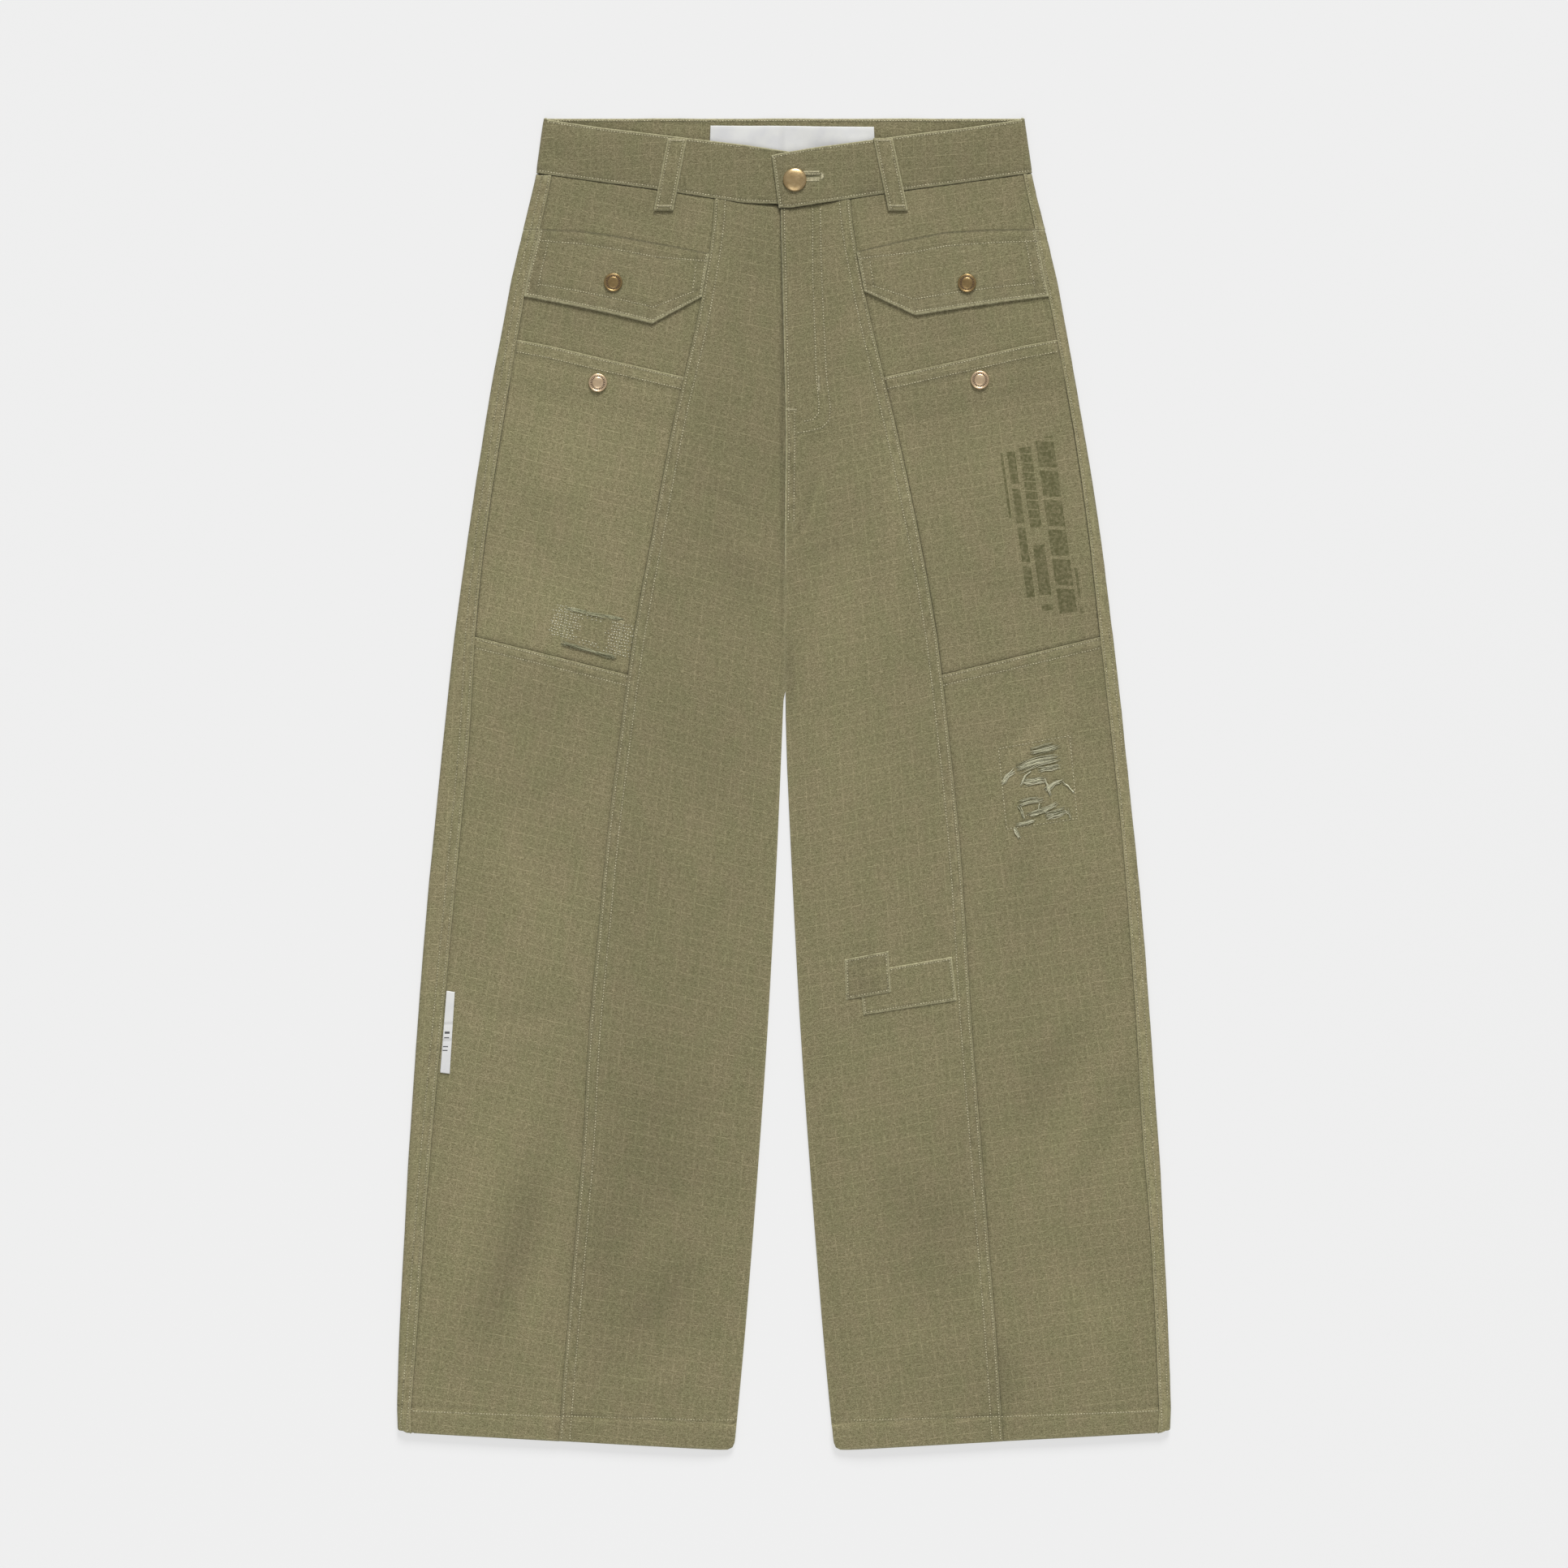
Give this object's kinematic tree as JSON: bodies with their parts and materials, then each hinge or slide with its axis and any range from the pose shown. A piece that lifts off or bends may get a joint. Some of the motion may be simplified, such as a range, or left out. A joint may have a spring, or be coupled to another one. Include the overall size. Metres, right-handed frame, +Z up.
{
  "type": "balloon trousers",
  "caption": "Wide barrel-leg cargo trousers in olive ripstop cotton, with flapped and thigh pockets, worn patches and a buttoned waistband, laid flat on their back.",
  "frame": {"origin": "on the surface the trousers lie on, under the middle of their box", "axes": "+Y from the hems to the waist, +X to the wearer's left, +Z up out of the surface through the front of the trousers"},
  "size_m": [0.61, 1.05, 0.0128],
  "materials": {
    "ripstop_cotton": "washed olive cotton ripstop, matt, with lighter grid threads and tan topstitching",
    "label_satin": "off-white satin tape, soft sheen",
    "brass": "pale polished brass, lightly brushed"
  },
  "bodies": {
    "root": {"back_yoke_left": "ripstop_cotton", "back_yoke_right": "ripstop_cotton", "back_panel_left": "ripstop_cotton", "back_panel_right": "ripstop_cotton", "front_centre_left": "ripstop_cotton", "front_centre_right": "ripstop_cotton", "side_upper_left": "ripstop_cotton", "side_upper_right": "ripstop_cotton", "thigh_pocket_left": "ripstop_cotton", "thigh_pocket_right": "ripstop_cotton", "side_lower_left": "ripstop_cotton", "side_lower_right": "ripstop_cotton", "pocket_flap_left": "ripstop_cotton", "pocket_flap_right": "ripstop_cotton", "waistband": "ripstop_cotton", "belt_loop_front_left": "ripstop_cotton", "belt_loop_front_right": "ripstop_cotton", "belt_loop_back_left": "ripstop_cotton", "belt_loop_back_centre": "ripstop_cotton", "belt_loop_back_right": "ripstop_cotton", "knee_patch_large": "ripstop_cotton", "knee_patch_small": "ripstop_cotton", "darned_patch": "ripstop_cotton", "waist_label": "label_satin", "side_label": "label_satin", "waist_button": "brass", "flap_snap_left": "brass", "flap_snap_right": "brass", "pocket_snap_left": "brass", "pocket_snap_right": "brass"}
  },
  "joints": []
}
